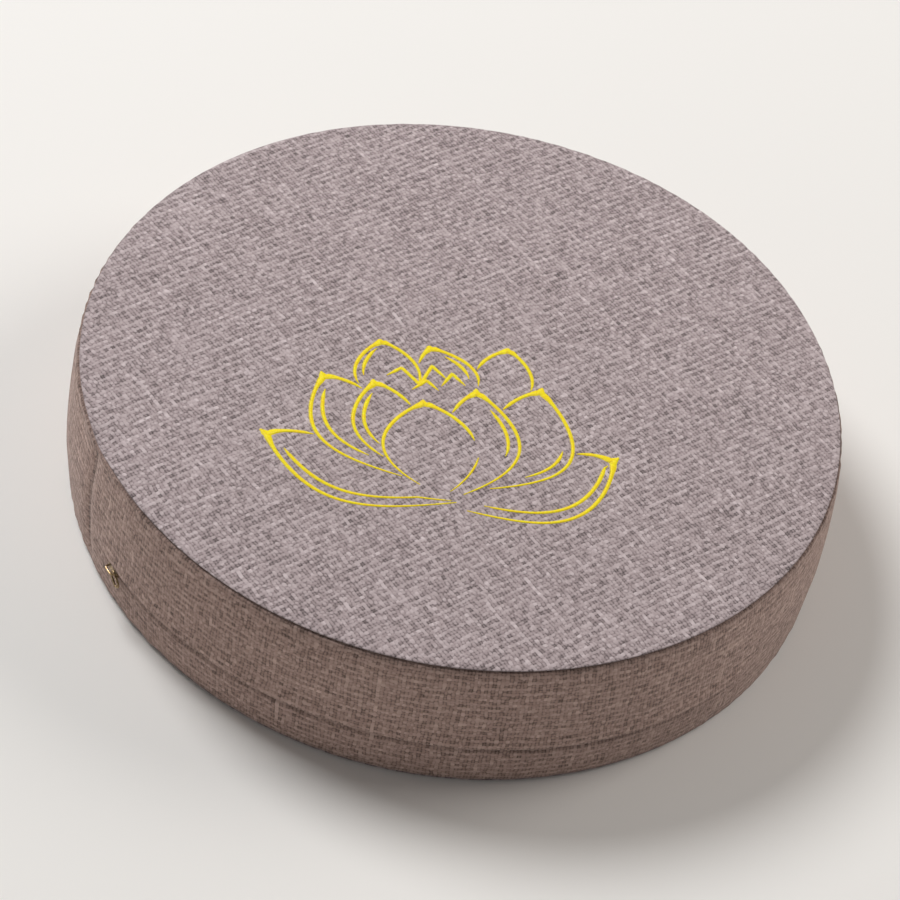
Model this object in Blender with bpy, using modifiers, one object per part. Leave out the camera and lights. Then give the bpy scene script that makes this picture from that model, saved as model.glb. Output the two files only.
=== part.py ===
"""A low round boxed floor cushion with a concealed zip, in metres, +Z up.

The origin is at the middle of the underside. +Y points to the back, and the zip runs low along the
front of the band. Angles are in degrees round +Z, from +X, so the front is at -90.
"""

from math import atan2, cos, exp, hypot, pi, radians, sin, sqrt

import bmesh
import bpy
from mathutils import Matrix, Vector

# The filled cover. Its two seams lie at the corners, where the round panels meet the band.
SEAM_RADIUS = 0.2000  # to the lip of each panel
TOP = 0.0852  # height of the top panel's lip
CREASE_DEEP = 0.0011  # how far the crease of a seam lies inside the cloth beside it
SEAM_TALL = 0.0014  # from the panel's lip to where the band starts
BAND_BULGE = 0.0031  # the band's middle beyond its edges
BULGE_POWER = 0.75  # lower is a fuller band
CROWN_RISE = 0.0042  # the middle of the top above its edge
LIP_RISE = 0.0008  # the roll of the top panel into its seam
LIP_POWER = 40  # higher is a tighter roll
FOOT_RISE = 0.0012  # how far the base panel's edge curls up from the floor
FOOT_REACH = 0.0060  # and from how far in
FOOT_BEND = (0.40, 0.25)  # shares of reach and rise where the curl bends
LEAN = -0.0016  # how far the top has shifted along X over the base
AROUND = 120  # steps round the cushion

# Shares of the panel's radius where the top has a ring, and the heights of the band's plain rings.
TOP_RINGS = (0.30, 0.54, 0.74, 0.865, 0.935, 0.965, 0.985)
BAND_RINGS = (0.0815, 0.0780, 0.0725, 0.0660, 0.0585, 0.0510, 0.0435)
LOW_BAND_RINGS = (0.0195, 0.0125, 0.0070, 0.0042)

# The zip: the upper strip of the band laps over it and ends in a fold.
ZIP_HEIGHT = 0.0302
ZIP_FROM = -144.0
ZIP_TO = -33.0
ZIP_FADE = 6.0  # degrees in which the lap dies away at its ends
LAP_PROUD = 0.0016  # the fold's edge beyond the band
LAP_TALL = 0.0120  # how far up the lap stands proud
LAP_EDGE = 0.0003  # half the height of the step under the fold
GUTTER_DEEP = 0.0014  # the shadow gap under the fold
GUTTER_TALL = 0.0045
ZIP_RINGS = (0.0075, 0.0035, LAP_EDGE, -LAP_EDGE, -0.0022, -0.0050)  # above the fold's edge

# The join of the band's ends at the left, and the pucker beside its head.
JOIN_ANGLE = -142.0  # at its foot
JOIN_LEAN = 6.2  # degrees that the join drifts back from its foot to its head
JOIN_DEEP = 0.0015
JOIN_SPREAD = 0.0055
PUCKER_ANGLE = -156.0
PUCKER_BELOW = 0.0060  # the pucker's middle under the top seam
PUCKER_DEEP = 0.0022
PUCKER_SPREAD = 0.0080

# Soft unevenness: (waves round the cushion, depth, angle of the first crest).
OUTLINE_WAVES = ((2, 0.0006, 12.0), (3, 0.0005, 70.0), (5, 0.0003, -20.0))
TOP_WAVES = ((2, 0.0006, 40.0), (3, 0.0004, -75.0))
BAND_WAVES = ((4, 0.0005, 25.0), (7, 0.0004, -8.0), (11, 0.0002, 3.0))

# The zip's slider and pull. Along is round the band, up is +Z and out is away from the cushion.
SLIDER_ANGLE = -140.0
SLIDER_LONG = 0.0090
SLIDER_TALL = 0.0064
SLIDER_THICK = 0.0020
SLIDER_ROUND = 0.0006
SLIDER_TAIL = 0.70  # the tail's height as a share of the nose's
SLIDER_BELOW = 0.0018  # its middle under the fold's edge
BRIDGE_LONG = 0.0068
BRIDGE_CLEAR = 0.0018  # the tunnel between the plate and the bridge
BRIDGE_WIRE = 0.0011
BRIDGE_CORNER = 0.0015
POCKET_DEEP = 0.0012  # how far the slider's plate is sunk into the band
CLEARANCE = 0.0003
PULL_LONG = 0.0098
PULL_WIDE = 0.0060
PULL_WIRE = 0.0012
PULL_DROOP = 34.0  # degrees below the line of the zip
PULL_CORNER = 0.0022
PULL_NEAR_CORNER = 0.0011  # at the bar under the bridge
PULL_AT = 0.0012  # where the pull's bar crosses the bridge, from the slider's middle

CLOTH = (0.376, 0.309, 0.300, 1.0)
BRASS = (0.62, 0.47, 0.25, 1.0)

MERGE = 0.00005
SMOOTH_ANGLE = 40.0


def clear_scene():
    """Removes what the scene holds."""
    for thing in list(bpy.data.objects):
        bpy.data.objects.remove(thing)


def new_collection(name):
    """A collection linked into the scene."""
    made = bpy.data.collections.new(name)
    bpy.context.scene.collection.children.link(made)
    return made


def new_material(name, colour, roughness, metallic):
    """A Principled material with one colour."""
    made = bpy.data.materials.new(name)
    made.use_nodes = True
    shader = made.node_tree.nodes["Principled BSDF"]
    shader.inputs["Base Color"].default_value = colour
    shader.inputs["Roughness"].default_value = roughness
    shader.inputs["Metallic"].default_value = metallic
    made.diffuse_color = colour
    return made


def add_object(name, data, collection, material=None):
    """An object of this data, in a collection, with its material."""
    made = bpy.data.objects.new(name, data)
    collection.objects.link(made)
    if material:
        data.materials.append(material)
    return made


def as_mesh(thing, name):
    """The evaluated object as a mesh of its own with its loose caps welded. The object is removed."""
    bpy.context.view_layer.update()
    seen = thing.evaluated_get(bpy.context.evaluated_depsgraph_get())
    mesh = bpy.data.meshes.new_from_object(seen)
    mesh.name = name
    mesh.transform(thing.matrix_world)
    bpy.data.objects.remove(thing)
    work = bmesh.new()
    work.from_mesh(mesh)
    bmesh.ops.remove_doubles(work, verts=work.verts, dist=MERGE)
    bmesh.ops.recalc_face_normals(work, faces=work.faces)
    work.to_mesh(mesh)
    work.free()
    return mesh


def shade(mesh):
    """Smooth shading with its sharp edges kept."""
    mesh.shade_smooth()
    mesh.set_sharp_from_angle(angle=radians(SMOOTH_ANGLE))


def bell(distance, spread):
    """1 at no distance, falling smoothly to nothing past about two spreads."""
    return exp(-((distance / spread) ** 2))


def turn_between(angle, other):
    """The difference of two angles, from -180 to 180 degrees."""
    return (angle - other + 180.0) % 360.0 - 180.0


def waves(table, angle):
    """The sum of a table's waves at an angle."""
    return sum(depth * cos(radians(count * (angle - crest))) for count, depth, crest in table)


def top_height(share):
    """Height of the top panel at a share of its radius: a low crown that rolls over at the edge."""
    crown = CROWN_RISE * (1.0 - share**2)
    lip = LIP_RISE * sqrt(1.0 - share**LIP_POWER)
    return TOP + crown + lip


def band_radius(height):
    """The band's radius at a height, bulged between its two seams."""
    share = (height - FOOT_RISE) / (TOP - FOOT_RISE)
    return SEAM_RADIUS + BAND_BULGE * sin(pi * max(min(share, 1.0), 0.0)) ** BULGE_POWER


def cushion_profile():
    """The half section from the crown out, down the band and in under the base, as (radius, height)."""
    crease = SEAM_RADIUS - CREASE_DEEP
    foot = FOOT_RISE + SEAM_TALL
    points = [(0.0, top_height(0.0))]
    points += [(SEAM_RADIUS * share, top_height(share)) for share in TOP_RINGS]
    points.append((SEAM_RADIUS, TOP))
    points.append((crease, TOP - SEAM_TALL / 2.0))
    points.append((band_radius(TOP - SEAM_TALL), TOP - SEAM_TALL))
    zip_heights = [ZIP_HEIGHT + rise for rise in ZIP_RINGS]
    for height in (*BAND_RINGS, *zip_heights, *LOW_BAND_RINGS, foot):
        points.append((band_radius(height), height))
    points.append((crease, foot - SEAM_TALL / 2.0))
    points.append((SEAM_RADIUS, FOOT_RISE))
    points.append((SEAM_RADIUS - FOOT_REACH * FOOT_BEND[0], FOOT_RISE * FOOT_BEND[1]))
    points.append((SEAM_RADIUS - FOOT_REACH, 0.0))
    points.append((0.0, 0.0))
    return points


def turned(name, points, steps, collection):
    """A profile turned once about +Z."""
    mesh = bpy.data.meshes.new(name)
    corners = [(radius, 0.0, height) for radius, height in points]
    edges = [(i, i + 1) for i in range(len(points) - 1)]
    mesh.from_pydata(corners, edges, [])
    made = add_object(name, mesh, collection)
    screw = made.modifiers.new("turn", "SCREW")
    screw.steps = steps
    screw.render_steps = steps
    screw.use_merge_vertices = True
    screw.merge_threshold = MERGE
    return made


def up_the_band(height):
    """0 at the floor and 1 at the top edge and above."""
    return max(min(height / TOP, 1.0), 0.0)


def lap_share(angle):
    """1 along the zip, fading to 0 past its two ends."""
    inside = min(turn_between(angle, ZIP_FROM), turn_between(ZIP_TO, angle))
    share = max(min(inside / ZIP_FADE + 0.5, 1.0), 0.0)
    return share * share * (3.0 - 2.0 * share)


def zip_step(height):
    """The lap's fold standing proud above the zip, and the gutter under it."""
    above = height - ZIP_HEIGHT
    if above > 0.0:
        return LAP_PROUD * max(1.0 - above / LAP_TALL, 0.0)
    return -GUTTER_DEEP * max(1.0 + above / GUTTER_TALL, 0.0)


def beside(angle, other):
    """How far round the band one angle lies from another."""
    return radians(turn_between(angle, other)) * SEAM_RADIUS


def drawn_in(height, angle):
    """How far the join of the band's ends and the pucker beside its head draw the band in."""
    join = JOIN_ANGLE - JOIN_LEAN * up_the_band(height)
    trough = JOIN_DEEP * bell(beside(angle, join), JOIN_SPREAD)
    below = TOP - height - PUCKER_BELOW
    pucker = PUCKER_DEEP * bell(hypot(beside(angle, PUCKER_ANGLE), below), PUCKER_SPREAD)
    return trough + pucker


def settled(point):
    """Where a point of the turned shape comes to lie on the real, slightly uneven cushion."""
    radius = hypot(point.x, point.y)
    angle = atan2(point.y, point.x) * 180.0 / pi
    share = radius / SEAM_RADIUS
    middle = sin(pi * up_the_band(point.z))
    on_band = min(middle * 3.0, 1.0)
    moved = radius + waves(OUTLINE_WAVES, angle) * share**3
    moved += waves(BAND_WAVES, angle) * middle
    moved += zip_step(point.z) * lap_share(angle) * on_band
    moved -= drawn_in(point.z, angle) * on_band
    height = point.z
    if height > TOP:
        height += waves(TOP_WAVES, angle) * share * (1.0 - share) * 4.0
    shift = LEAN * up_the_band(point.z)
    return Vector((moved * cos(radians(angle)) + shift, moved * sin(radians(angle)), height))


def make_cushion(collection, material):
    """The whole filled cover: crowned top, drawn-in seams, bulged band with its zip lap, and a flat base."""
    blank = turned("cushion_blank", cushion_profile(), AROUND, collection)
    mesh = as_mesh(blank, "cushion")
    for vertex in mesh.vertices:
        vertex.co = settled(vertex.co)
    shade(mesh)
    return add_object("cushion", mesh, collection, material)


def zip_frame():
    """The place of the slider: X along the band, Y up, Z out, with its origin on the band under the fold."""
    turn = radians(SLIDER_ANGLE)
    reach = band_radius(ZIP_HEIGHT) + waves(OUTLINE_WAVES, SLIDER_ANGLE)
    along = Vector((-sin(turn), cos(turn), 0.0))
    out = Vector((cos(turn), sin(turn), 0.0))
    up = Vector((0.0, 0.0, 1.0))
    shift = Vector((LEAN * up_the_band(ZIP_HEIGHT), 0.0, 0.0))
    place = Matrix((along, up, out)).transposed().to_4x4()
    place.translation = out * reach + up * ZIP_HEIGHT + shift
    return place


def bar(name, size, centre, rounding, collection):
    """A box with its edges rounded."""
    bpy.ops.mesh.primitive_cube_add(size=1.0)
    made = bpy.context.object
    for holder in list(made.users_collection):
        holder.objects.unlink(made)
    collection.objects.link(made)
    made.name = name
    made.data.name = name
    made.data.transform(Matrix.Translation(centre) @ Matrix.Diagonal((*size, 1.0)))
    bevel = made.modifiers.new("edges", "BEVEL")
    bevel.width = rounding
    bevel.segments = 2
    return made


def loop_wire(name, points, thickness, cyclic, collection):
    """A round wire through these points."""
    curve = bpy.data.curves.new(name, "CURVE")
    curve.dimensions = "3D"
    curve.bevel_depth = thickness / 2.0
    curve.bevel_resolution = 2
    curve.use_fill_caps = not cyclic
    spline = curve.splines.new("POLY")
    spline.points.add(len(points) - 1)
    for spot, point in zip(spline.points, points):
        spot.co = (*point, 1.0)
    spline.use_cyclic_u = cyclic
    return add_object(name, curve, collection)


def round_corner(centre, start, corner, steps=5):
    """A quarter turn in the XY plane about a centre, from an angle."""
    angles = [radians(start + 90.0 * step / steps) for step in range(steps + 1)]
    return [(centre[0] + corner * cos(a), centre[1] + corner * sin(a)) for a in angles]


def make_pocket(place, cutters):
    """The cutter for the shallow seat that the slider's plate is sunk into."""
    size = (SLIDER_LONG + 2 * CLEARANCE, SLIDER_TALL + 2 * CLEARANCE, 4 * POCKET_DEEP)
    centre = (0.0, 0.0, POCKET_DEEP - CLEARANCE)
    cutter = bar("slider_pocket", size, centre, SLIDER_ROUND, cutters)
    cutter.matrix_world = place
    cutter.hide_render = True
    cutter.display_type = "WIRE"
    return cutter


def make_slider(place, collection, cutters, material):
    """The slider: a plate narrower at its tail, and the bridge that holds the pull."""
    plate = bar("zip_slider", (SLIDER_LONG, SLIDER_TALL, SLIDER_THICK), (0, 0, 0), SLIDER_ROUND, collection)
    for vertex in plate.data.vertices:
        if vertex.co.x < 0.0:
            vertex.co.y *= SLIDER_TAIL
    half = BRIDGE_LONG / 2.0
    crest = SLIDER_THICK / 2.0 + BRIDGE_CLEAR + BRIDGE_WIRE / 2.0
    bend = (half - BRIDGE_CORNER, crest - BRIDGE_CORNER)
    right = [(half, 0.0), *round_corner(bend, 0.0, BRIDGE_CORNER)]
    path = [(x, 0.0, z) for x, z in right] + [(-x, 0.0, z) for x, z in reversed(right)]
    wire = loop_wire("bridge_wire", path, BRIDGE_WIRE, False, cutters)
    bridge = add_object("slider_bridge", as_mesh(wire, "slider_bridge"), cutters)
    for piece in (plate, bridge):
        piece.matrix_world = place
    bridge.hide_render = True
    bridge.display_type = "WIRE"
    join = plate.modifiers.new("bridge", "BOOLEAN")
    join.operation = "UNION"
    join.object = bridge
    plate.data.materials.append(material)
    shade(plate.data)
    return plate


def make_pull(place, collection, cutters, material):
    """The pull: a long wire loop that passes under the bridge and lies along the zip, drooping."""
    inner_x = PULL_LONG - PULL_WIRE
    inner_y = (PULL_WIDE - PULL_WIRE) / 2.0
    far, near = inner_x - PULL_CORNER, PULL_NEAR_CORNER
    high = inner_y - PULL_CORNER
    low = inner_y - near
    outline = round_corner((far, high), 0.0, PULL_CORNER)
    outline += round_corner((near, low), 90.0, near)
    outline += round_corner((near, -low), 180.0, near)
    outline += round_corner((far, -high), 270.0, PULL_CORNER)
    level = SLIDER_THICK / 2.0 + BRIDGE_CLEAR / 2.0
    wire = loop_wire("pull_wire", [(x, y, 0.0) for x, y in outline], PULL_WIRE, True, cutters)
    pull = add_object("zip_pull", as_mesh(wire, "zip_pull"), collection, material)
    droop = Matrix.Rotation(radians(-PULL_DROOP), 4, "Z")
    pull.matrix_world = place @ Matrix.Translation((PULL_AT, 0.0, level)) @ droop
    shade(pull.data)
    return pull


def main():
    """Builds the cushion and the zip's two metal pieces."""
    clear_scene()
    parts = new_collection("meditation_cushion")
    cutters = new_collection("helpers")
    cloth = new_material("cover_cloth", CLOTH, 0.95, 0.0)
    brass_slider = new_material("slider_brass", BRASS, 0.38, 1.0)
    brass_pull = new_material("pull_brass", BRASS, 0.32, 1.0)
    cushion = make_cushion(parts, cloth)
    sunk = SLIDER_THICK / 2.0 - POCKET_DEEP
    place = zip_frame() @ Matrix.Translation((0.0, -SLIDER_BELOW, sunk))
    seat = cushion.modifiers.new("slider_seat", "BOOLEAN")
    seat.operation = "DIFFERENCE"
    seat.object = make_pocket(place, cutters)
    make_slider(place, parts, cutters, brass_slider)
    make_pull(place, parts, cutters, brass_pull)


main()
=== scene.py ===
"""The looks of the round meditation cushion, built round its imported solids.

Metres, +Z up, the front at -Y. Angles are in degrees from +X towards +Y.
"""

from math import cos, exp, log, pi, radians, sin
from typing import NamedTuple

import bpy
import numpy as np
from mathutils import Matrix, Vector
from mathutils.bvhtree import BVHTree


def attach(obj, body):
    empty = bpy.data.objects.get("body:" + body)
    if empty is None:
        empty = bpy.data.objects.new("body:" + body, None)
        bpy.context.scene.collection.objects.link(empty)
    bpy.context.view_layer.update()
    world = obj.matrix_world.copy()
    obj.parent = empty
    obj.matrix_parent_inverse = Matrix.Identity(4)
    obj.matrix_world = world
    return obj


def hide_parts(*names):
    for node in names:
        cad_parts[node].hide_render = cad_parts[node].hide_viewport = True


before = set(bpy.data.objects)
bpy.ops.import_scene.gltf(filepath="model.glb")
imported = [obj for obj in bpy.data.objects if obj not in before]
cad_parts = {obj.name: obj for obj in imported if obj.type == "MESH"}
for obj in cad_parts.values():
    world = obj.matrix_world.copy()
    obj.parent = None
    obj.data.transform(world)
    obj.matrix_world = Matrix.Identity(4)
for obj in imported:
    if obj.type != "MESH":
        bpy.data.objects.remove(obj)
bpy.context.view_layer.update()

# ---------------------------------------------------------------- sizes, as in the solid
SEAM_RADIUS = 0.2000
TOP = 0.0852  # the top seam's height
CROWN_RISE = 0.0042
LIP_RISE = 0.0008
LIP_POWER = 40
BAND_BULGE = 0.0031
BULGE_POWER = 0.75
FOOT_RISE = 0.0012  # where the band starts, above the floor
LEAN = -0.0016  # how far the top stands off along X

ZIP_HEIGHT = 0.0302
ZIP_FROM = -144.0
ZIP_TO = -33.0
ZIP_FADE = 6.0

# Slow unevenness round the cushion, as (waves, depth, angle of a crest).
OUTLINE_WAVES = ((2, 0.0006, 12.0), (3, 0.0005, 70.0), (5, 0.0003, -20.0))
TOP_WAVES = ((2, 0.0006, 40.0), (3, 0.0004, -75.0))
BAND_WAVES = ((4, 0.0005, 25.0), (7, 0.0004, -8.0), (11, 0.0002, 3.0))
OUTLINE_POWER = 3  # the outline's waves fade out towards the middle of a disc
TOP_HUMP = 4.0  # brings share * (1 - share) up to 1 half way out
BAND_RAMP = 3.0  # how soon beside its seams the band's own dents are full

# ---------------------------------------------------------------- the band's join and the dents beside it
JOIN_ANGLE = -149.625  # on a column of the fine cover
JOIN_DEEP = 0.0012
JOIN_WIDE = 0.0055
CREASE_DEEP = 0.0008  # the fine crease in the join's middle
CREASE_WIDE = 0.0011
# Painted shade in the join's crease: how dark it is, and how far it spreads.
JOIN_PAINTED_SHADE = 0.8
JOIN_PAINTED_SHADE_WIDE = 0.0013
SEAM_DIP = 0.0017  # the top seam is drawn down where the band's join meets it
DIP_ALONG = 0.0120
DIP_ACROSS = 0.0090
DIP_FROM = 0.17  # no row inside this radius dips
PUCKER_ANGLE = -156.0
PUCKER_BELOW = 0.0060  # below the top seam
PUCKER_DEEP = 0.0012
PUCKER_WIDE = 0.0080

# ---------------------------------------------------------------- the gathers of the cloth beside its seams
GATHER_SEED = 11
RIPPLE_STEP = 3  # every third wave count takes part in a ripple
TOP_GATHER = 0.00016
TOP_RIPPLES = (60, 170)  # the least and the most waves round the cushion
TOP_GATHER_IN = 0.004  # where they are deepest, in from the seam
TOP_GATHER_WIDE = 0.006
BAND_GATHER = 0.00028
HEAD_RIPPLES = (55, 150)
HEAD_GATHER_WIDE = 0.0075
HEAD_GATHER_FADE = 0.002  # they grow from nothing over this height
FOOT_RIPPLES = (50, 140)
FOOT_GATHER_WIDE = 0.0065
FOOT_GATHER_FROM = 0.0018

# ---------------------------------------------------------------- the section of the cover
AROUND = 640  # columns of the fine cover
COARSE = 160  # columns of the simulated cover
FULL_TURN = 360.0
HALF_TURN = 180.0

TOP_PANEL, UPPER_STRIP, LOWER_STRIP, BASE_PANEL = range(4)

# Offsets are from SEAM_RADIUS. Dark is how far a seam's shade darkens the cloth there.
SEAM_ROWS = (  # (offset, height over TOP, panel, dark)
    (-0.0010, 0.00055, TOP_PANEL, 0.06),
    (-0.0006, 0.00030, TOP_PANEL, 0.16),
    (-0.0006, 0.00000, TOP_PANEL, 0.30),
    (-0.0012, -0.00030, TOP_PANEL, 1.00),
    (-0.0016, -0.00070, UPPER_STRIP, 1.00),
    (-0.0008, -0.00095, UPPER_STRIP, 0.85),
    (0.0001, -0.00120, UPPER_STRIP, 0.50),
    (0.0005, -0.00180, UPPER_STRIP, 0.34),
)
# Along the zip, the dark column is painted shade: the lap's shadow, darkest just under its fold.
LAP_ROWS = (  # (above the fold, out from the band, dark): the last two fade past the zip's ends
    (0.0100, 0.0000, 0.00),
    (0.0080, 0.0004, 0.00),
    (0.0060, 0.0008, 0.00),
    (0.0040, 0.0011, 0.00),
    (0.0024, 0.0013, 0.00),
    (0.0012, 0.0014, 0.00),
    (0.0004, 0.0013, 0.10),
    (-0.0001, 0.0009, 0.60),
    (-0.0002, 0.0003, 0.95),
    (0.0000, -0.0006, 1.00),
    (-0.0005, -0.0010, 1.00),
    (-0.0014, -0.0009, 0.80),
    (-0.0026, -0.0005, 0.52),
    (-0.0042, -0.0001, 0.22),
)
FOOT_ROWS = (  # (offset, height above the floor, panel, dark)
    (0.0003, 0.0029, LOWER_STRIP, 0.10),
    (-0.0003, 0.0023, LOWER_STRIP, 0.60),
    (-0.0014, 0.0019, BASE_PANEL, 1.00),
    (-0.0004, 0.0014, BASE_PANEL, 0.50),
    (-0.0006, 0.0008, BASE_PANEL, 0.10),
    (-0.0024, 0.0003, BASE_PANEL, 0.00),
)
LAP_TOP = ZIP_HEIGHT + LAP_ROWS[0][0]
TOP_RADII = np.concatenate([np.arange(0.004, 0.168, 0.0045), np.arange(0.170, 0.1975, 0.0022)])
UNDER_SEAM_HEIGHTS = np.arange(0.0825, 0.074, -0.0014)
UPPER_HEIGHTS = np.concatenate([UNDER_SEAM_HEIGHTS, np.linspace(0.0735, LAP_TOP + 0.002, 15)])
LOWER_HEIGHTS = np.linspace(ZIP_HEIGHT - 0.0060, 0.0044, 11)
BASE_RADII = (0.1940, 0.1920, 0.1870, 0.1780, 0.1640, 0.1450, 0.1200, 0.0900, 0.0600, 0.0300, 0.0080)
UNDER_SEAM_DARK = 0.36  # the band's cloth just below the top seam lies in its shade
UNDER_SEAM_WIDE = 0.0045
LAP_STRIP_DARK = 0.07  # the strip below the zip lies in the lap's shade


class Row(NamedTuple):
    """One ring of the cover. Lap and lap_painted_shade count along the zip only."""

    radius: float
    height: float
    panel: int
    dark: float = 0.0
    lap: float = 0.0
    lap_painted_shade: float = 0.0


def waves(table, angle):
    """The sum of a table's waves at angles in degrees."""
    return sum(depth * np.cos(np.radians(count * (angle - crest))) for count, depth, crest in table)


def bell(distance, spread):
    """1 at no distance, falling smoothly to nothing past about two spreads."""
    return np.exp(-((distance / spread) ** 2))


def turn_between(angle, other):
    """The difference of two angles, from -180 to 180 degrees."""
    return (angle - other + HALF_TURN) % FULL_TURN - HALF_TURN


def beside(angle, other):
    """How far along the band one angle lies from another."""
    return np.radians(turn_between(angle, other)) * SEAM_RADIUS


def top_height(radius):
    """Height of the top panel at a radius: a low crown with a rolled edge."""
    share = radius / SEAM_RADIUS
    return TOP + CROWN_RISE * (1.0 - share**2) + LIP_RISE * (1.0 - share**LIP_POWER) ** 0.5


def band_radius(height):
    """The band's radius at a height, bulged between its two seams."""
    share = (height - FOOT_RISE) / (TOP - FOOT_RISE)
    return SEAM_RADIUS + BAND_BULGE * sin(pi * max(min(share, 1.0), 0.0)) ** BULGE_POWER


def section():
    """The half section of the cover, as rows from the crown out, down the band and in under the base."""
    rows = [Row(radius, top_height(radius), TOP_PANEL) for radius in TOP_RADII]
    rows += [Row(SEAM_RADIUS + offset, TOP + rise, panel, dark) for offset, rise, panel, dark in SEAM_ROWS]
    for height in UPPER_HEIGHTS:
        dark = UNDER_SEAM_DARK * bell(TOP - height, UNDER_SEAM_WIDE)
        rows.append(Row(band_radius(height), height, UPPER_STRIP, dark))
    for above, out, dark in LAP_ROWS:
        height = ZIP_HEIGHT + above
        panel = UPPER_STRIP if above >= 0.0 else LOWER_STRIP
        rows.append(Row(band_radius(height), height, panel, lap=out, lap_painted_shade=dark))
    for height in LOWER_HEIGHTS:
        rows.append(Row(band_radius(height), height, LOWER_STRIP, lap_painted_shade=LAP_STRIP_DARK))
    rows += [Row(SEAM_RADIUS + offset, height, panel, dark) for offset, height, panel, dark in FOOT_ROWS]
    rows += [Row(radius, 0.0, BASE_PANEL) for radius in BASE_RADII]
    return rows


def eased(share):
    """A share from 0 to 1 that starts and stops smoothly."""
    return share * share * (3.0 - 2.0 * share)


def lap_share(angle):
    """1 along the zip, fading smoothly to 0 past its two ends."""
    inside = np.minimum(turn_between(angle, ZIP_FROM), turn_between(ZIP_TO, angle))
    return eased(np.clip(inside / ZIP_FADE + 0.5, 0.0, 1.0))


def join_depth(beside_join, fine):
    """How deep the band's join lies: a shallow groove, with a crease in its middle on the fine cover."""
    groove = JOIN_DEEP * bell(beside_join, JOIN_WIDE)
    return groove + CREASE_DEEP * bell(beside_join, CREASE_WIDE) if fine else groove


def ripple(angle, low, high, seed):
    """A closed, irregular ripple round the cushion, from -1 to 1 or so, between two wave counts."""
    dice = np.random.default_rng(seed)
    total = np.zeros_like(angle)
    for count in range(low, high, RIPPLE_STEP):
        total += dice.normal() * np.cos(np.radians(count * angle) + dice.uniform(0.0, 2.0 * pi))
    return total / np.sqrt((high - low) / RIPPLE_STEP)


def band_gathers(angle, height):
    """How far the gathers beside the band's two seams stand out."""
    head = bell(TOP - height, HEAD_GATHER_WIDE) * np.clip((TOP - height) / HEAD_GATHER_FADE, 0.0, 1.0)
    foot = bell(height, FOOT_GATHER_WIDE) * (height > FOOT_GATHER_FROM)
    head = head * ripple(angle, *HEAD_RIPPLES, GATHER_SEED)
    foot = foot * ripple(angle, *FOOT_RIPPLES, GATHER_SEED + 1)
    return BAND_GATHER * (head + foot)


def top_gathers(angle, radius, height):
    """How high the gathers beside the top panel's seam stand."""
    at_edge = bell(SEAM_RADIUS - radius - TOP_GATHER_IN, TOP_GATHER_WIDE) * (height > TOP)
    return TOP_GATHER * ripple(angle, *TOP_RIPPLES, GATHER_SEED + 2) * at_edge


def placed(rows, count, fine=True):
    """The points of the cover, one line per row of the section, and how dark a shade lies on each."""
    radius, height, _, seam_dark, lap, lap_painted_shade = (values[:, None] for values in np.array(rows).T)
    angle = (-HALF_TURN + FULL_TURN * np.arange(count) / count)[None, :]
    beside_join = beside(angle, JOIN_ANGLE)
    along_zip = lap_share(angle)
    up = np.clip(height / TOP, 0.0, 1.0)
    share = radius / SEAM_RADIUS
    middle = np.sin(pi * up)
    on_band = np.clip(middle * BAND_RAMP, 0.0, 1.0)

    reach = radius + waves(OUTLINE_WAVES, angle) * share**OUTLINE_POWER + waves(BAND_WAVES, angle) * middle
    reach = reach + lap * along_zip
    reach = reach - on_band * join_depth(beside_join, fine)
    from_pucker = np.hypot(beside(angle, PUCKER_ANGLE), TOP - height - PUCKER_BELOW)
    reach = reach - on_band * PUCKER_DEEP * bell(from_pucker, PUCKER_WIDE)
    rise = waves(TOP_WAVES, angle) * share * (1.0 - share) * TOP_HUMP * (height > TOP)
    from_seam = np.hypot(SEAM_RADIUS - radius, TOP - height)
    rise = rise - SEAM_DIP * bell(beside_join, DIP_ALONG) * bell(from_seam, DIP_ACROSS) * (radius > DIP_FROM)
    if fine:
        reach = reach + band_gathers(angle, height)
        rise = rise + top_gathers(angle, radius, height)

    dark = seam_dark + lap_painted_shade * along_zip
    dark = np.maximum(dark, on_band * JOIN_PAINTED_SHADE * bell(beside_join, JOIN_PAINTED_SHADE_WIDE))
    x = reach * np.cos(np.radians(angle)) + LEAN * up
    y = reach * np.sin(np.radians(angle))
    return np.stack([x, y, height + rise], axis=-1), dark


def linked(name, data):
    """A new object of the scene."""
    made = bpy.data.objects.new(name, data)
    bpy.context.scene.collection.objects.link(made)
    return made


def closed_mesh(name, points):
    """A closed mesh from rings of points, with one point more in the middle of the first and the last ring.

    Its faces are the quads between the rings, ring by ring, and then a head and a tail triangle per column.
    """
    rings, count = points.shape[:2]
    head = rings * count
    tail = head + 1
    last = head - count
    faces = []
    for low in range(0, last, count):
        high = low + count
        for i in range(count):
            j = (i + 1) % count
            faces.append((low + j, low + i, high + i, high + j))
    for i in range(count):
        j = (i + 1) % count
        faces.append((head, i, j))
        faces.append((last + j, last + i, tail))
    corners = np.vstack([points.reshape(-1, 3), points[0].mean(axis=0), points[-1].mean(axis=0)])
    mesh = bpy.data.meshes.new(name)
    mesh.from_pydata(corners.tolist(), [], faces)
    mesh.validate()
    return linked(name, mesh)


def vertex_places(mesh):
    """The places of a mesh's vertices, one per line."""
    places = np.empty(len(mesh.vertices) * 3)
    mesh.vertices.foreach_get("co", places)
    return places.reshape(-1, 3)


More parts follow.
